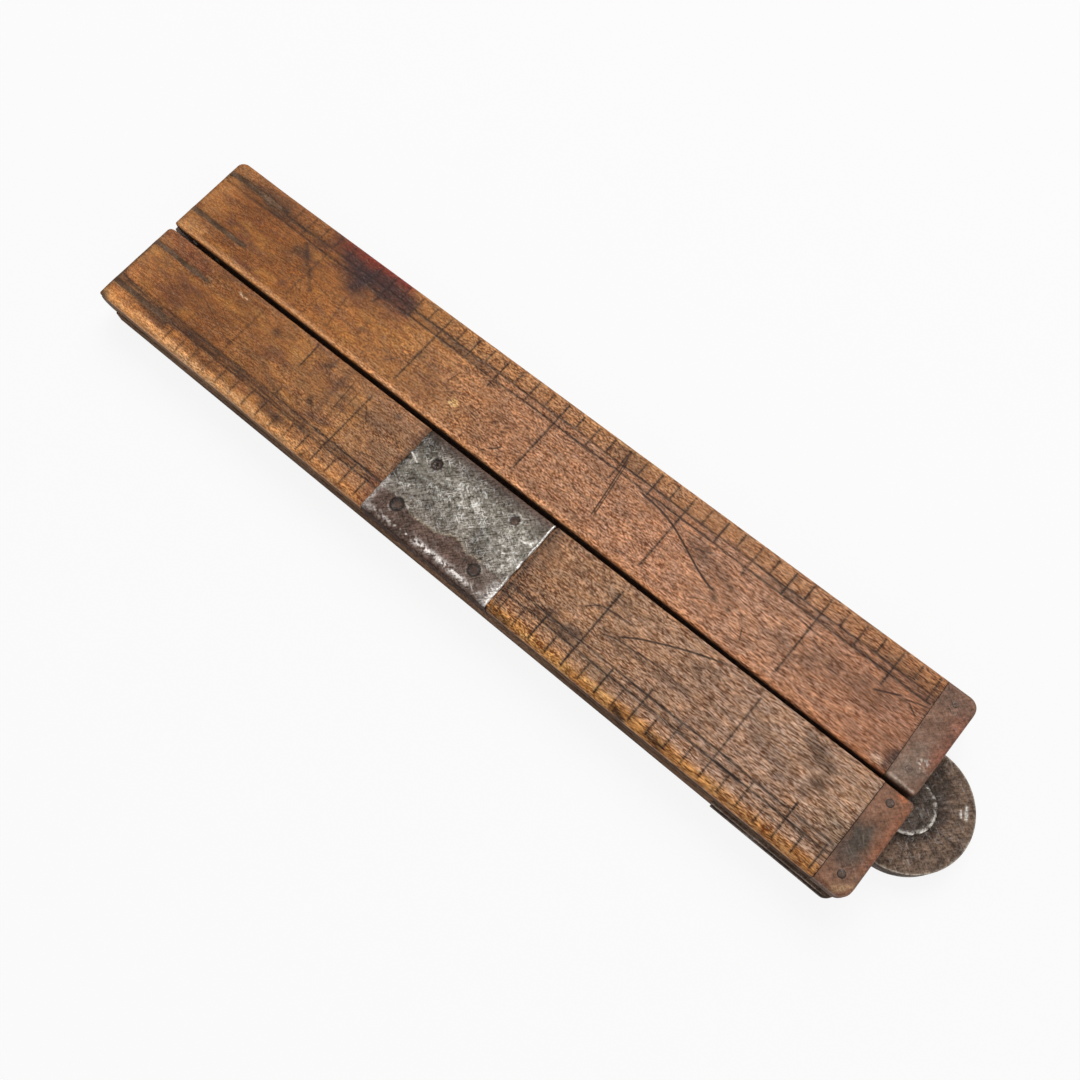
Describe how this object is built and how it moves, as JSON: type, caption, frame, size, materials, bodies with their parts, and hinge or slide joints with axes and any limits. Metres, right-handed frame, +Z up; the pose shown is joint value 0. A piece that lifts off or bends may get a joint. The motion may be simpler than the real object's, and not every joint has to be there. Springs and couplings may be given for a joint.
{
  "type": "folding rule",
  "caption": "Wooden carpenter's rule that folds on knuckle hinges and a round scissor joint, with metal tips and a nailed sheet sleeve round a mended leg, shown folded.",
  "frame": {"origin": "middle of the folded rule's box, on the plane that it lies on", "axes": "+X along the legs from the knuckle hinges to the round joint, +Y across them from the mended pair to the other, +Z up out of the faces that the two lower legs lie on"},
  "size_m": [0.1644, 0.0352, 0.0086],
  "materials": {
    "lower_leg_wood": "worn, oiled and grimed hardwood",
    "far_upper_wood": "worn, oiled hardwood, stained in places",
    "near_hinge_wood": "worn, oiled hardwood",
    "near_tip_wood": "worn, oiled hardwood",
    "sleeve_sheet": "dull grey sheet with rust on its outer edge",
    "nail_iron": "dark, rusted",
    "tip_brass": "tarnished dark brown",
    "tip_rivet": "tarnished",
    "joint_brass": "tarnished olive brown",
    "hub_steel": "dark, rubbed",
    "tail_rivet": "tarnished",
    "pin_steel": "dark",
    "strap_brass": "tarnished grey green",
    "cross_pin": "tarnished"
  },
  "bodies": {
    "near_lower": {"near_lower_leg": "lower_leg_wood", "joint_top_leaf": "joint_brass", "joint_bottom_leaf": "joint_brass", "joint_pivot": "hub_steel", "near_tail_rivets": "tail_rivet", "near_lower_strap_outer": "strap_brass", "near_lower_strap_middle": "strap_brass", "near_lower_strap_inner": "strap_brass", "near_lower_cross_pins": "cross_pin", "near_knuckle_pin": "pin_steel"},
    "far_lower": {"far_lower_leg": "lower_leg_wood", "joint_middle_leaf": "joint_brass", "far_tail_rivets": "tail_rivet", "far_lower_strap_outer": "strap_brass", "far_lower_strap_middle": "strap_brass", "far_lower_strap_inner": "strap_brass", "far_lower_cross_pins": "cross_pin", "far_knuckle_pin": "pin_steel"},
    "near_upper": {"near_upper_leg_hinge_part": "near_hinge_wood", "near_upper_leg_tip_part": "near_tip_wood", "splice_sleeve": "sleeve_sheet", "splice_nails": "nail_iron", "near_tip": "tip_brass", "near_tip_rivets": "tip_rivet", "near_upper_strap_outer": "strap_brass", "near_upper_strap_inner": "strap_brass", "near_upper_cross_pins": "cross_pin"},
    "far_upper": {"far_upper_leg": "far_upper_wood", "far_tip": "tip_brass", "far_tip_rivets": "tip_rivet", "far_upper_strap_outer": "strap_brass", "far_upper_strap_inner": "strap_brass", "far_upper_cross_pins": "cross_pin"}
  },
  "joints": [
    {"name": "round_joint", "type": "hinge", "parent": "near_lower", "child": "far_lower", "pos_m": [0.0727, 0, 0.002], "axis": [0, 0, -1], "range_deg": [0, 180]},
    {"name": "near_knuckle_hinge", "type": "hinge", "parent": "near_lower", "child": "near_upper", "pos_m": [-0.0803, -0.00885, 0.00425], "axis": [0, -1, 0], "range_deg": [0, 180]},
    {"name": "far_knuckle_hinge", "type": "hinge", "parent": "far_lower", "child": "far_upper", "pos_m": [-0.0803, 0.00885, 0.00425], "axis": [0, -1, 0], "range_deg": [0, 180]}
  ]
}
